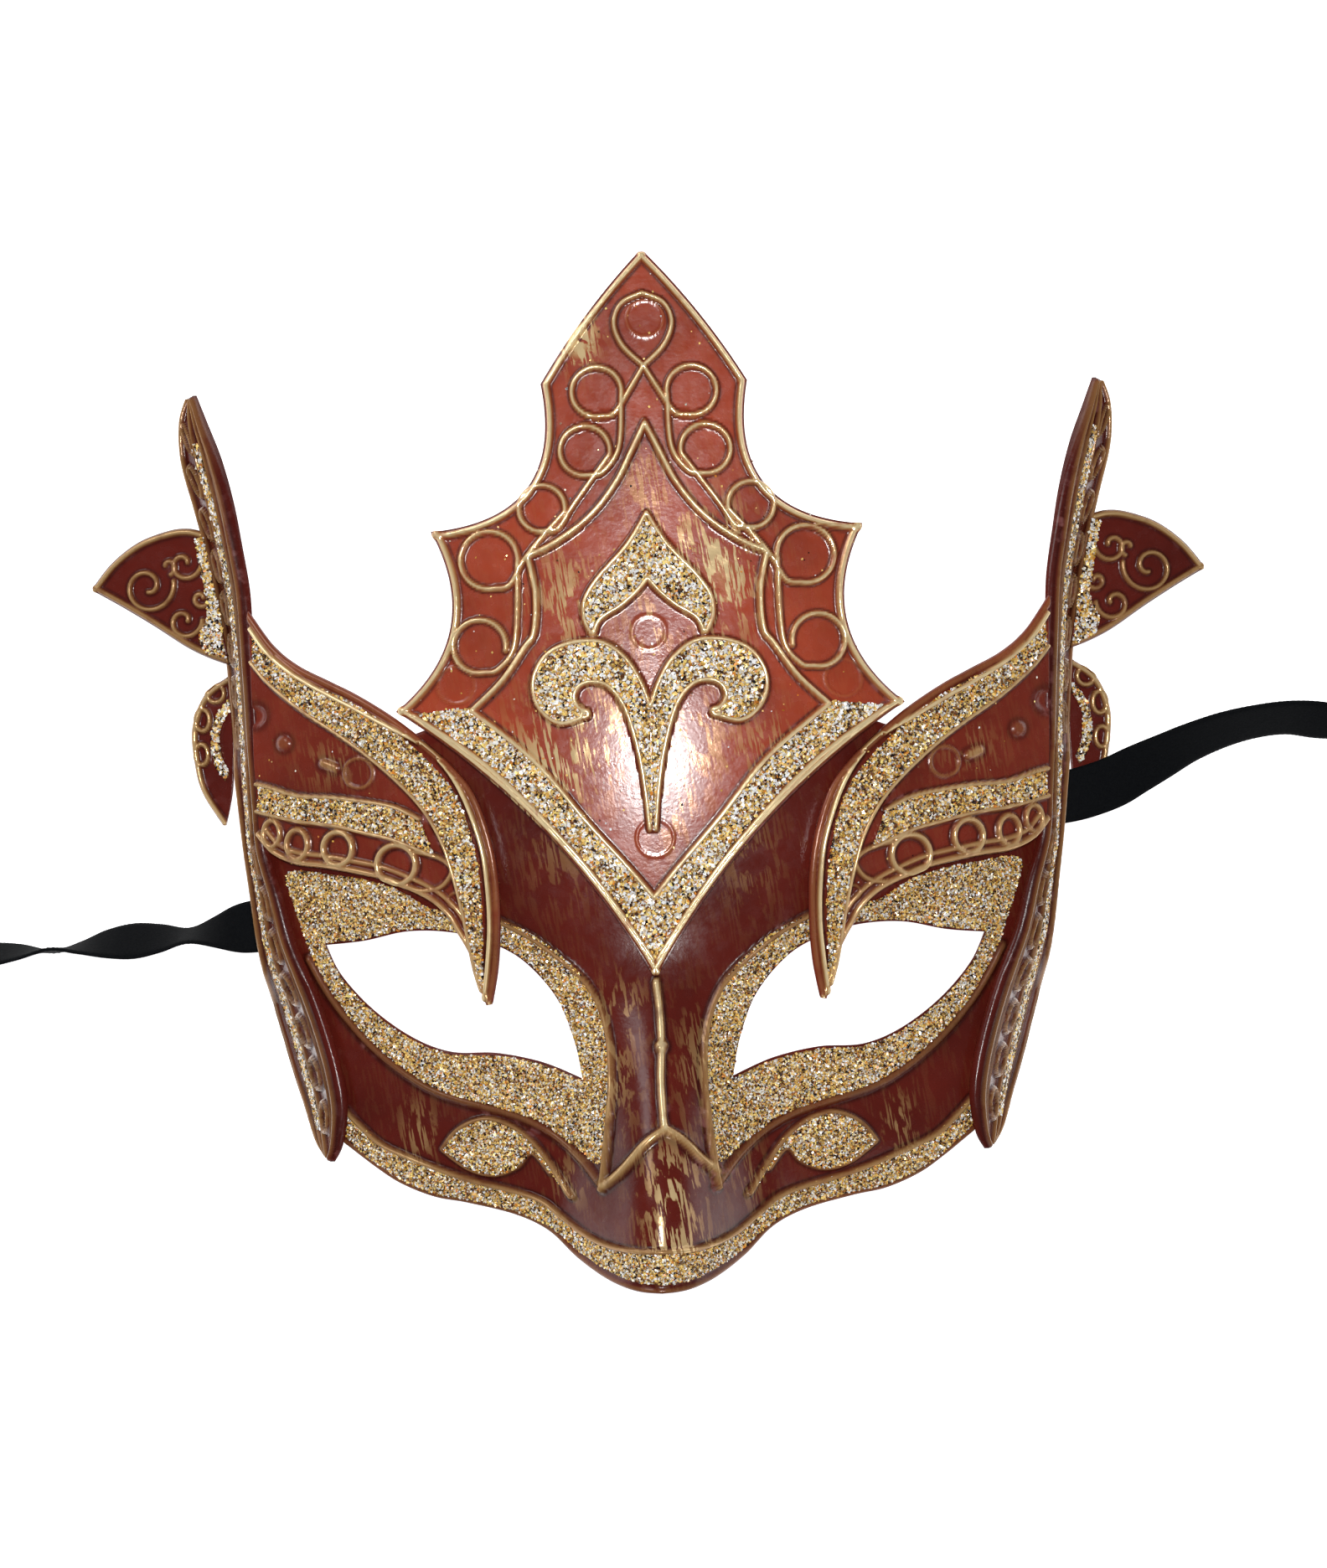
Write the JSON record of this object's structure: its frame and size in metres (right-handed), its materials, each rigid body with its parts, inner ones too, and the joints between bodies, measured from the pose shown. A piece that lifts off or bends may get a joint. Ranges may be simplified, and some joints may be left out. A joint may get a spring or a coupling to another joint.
{
  "type": "venetian masquerade mask",
  "caption": "Half-face masquerade mask with a leaf-shaped crest, clawed brow wings, sickle side blades, small fins, glitter inlays and two ribbon ties.",
  "frame": {"origin": "middle of the mask's box, on the table that it lies on, ribbons left out", "axes": "+Z out of the face, away from the table; +Y towards the tip of the crest; +X towards the right of someone who looks at the face"},
  "size_m": [0.3562, 0.1786, 0.0702],
  "materials": {
    "maroon_plastic": "satin maroon plastic with rubbed gold edges",
    "crest_plastic": "satin red-brown plastic with rubbed gold edges",
    "glitter": "coarse mixed gold, silver and copper glitter",
    "fine_glitter": "fine gold and silver glitter",
    "ribbon": "black ribbed grosgrain ribbon",
    "glue": "set glue pad"
  },
  "bodies": {
    "root": {"base_shell": "maroon_plastic", "crest_plate": "crest_plastic", "crest_v_glitter": "glitter", "fleur_flame_glitter": "glitter", "fleur_scroll_glitter_left": "glitter", "fleur_scroll_glitter_right": "glitter", "brow_upper_glitter_left": "glitter", "brow_upper_glitter_right": "glitter", "brow_lower_glitter_left": "glitter", "brow_lower_glitter_right": "glitter", "blade_glitter_left": "glitter", "blade_glitter_right": "glitter", "fan_glitter_left": "glitter", "fan_glitter_right": "glitter", "crescent_glitter_left": "glitter", "crescent_glitter_right": "glitter", "eye_glitter_left": "fine_glitter", "eye_glitter_right": "fine_glitter", "cheek_glitter_left": "fine_glitter", "cheek_glitter_right": "fine_glitter", "border_glitter": "fine_glitter", "brow_wing_left": "maroon_plastic", "brow_wing_right": "maroon_plastic", "side_blade_left": "maroon_plastic", "side_blade_right": "maroon_plastic", "fan_fin_left": "maroon_plastic", "fan_fin_right": "maroon_plastic", "crescent_fin_left": "maroon_plastic", "crescent_fin_right": "maroon_plastic", "ribbon_anchor_left": "glue", "ribbon_anchor_right": "glue", "ribbon_left": "ribbon", "ribbon_right": "ribbon", "ribbon_coil_left": "ribbon", "ribbon_coil_right": "ribbon"}
  },
  "joints": []
}
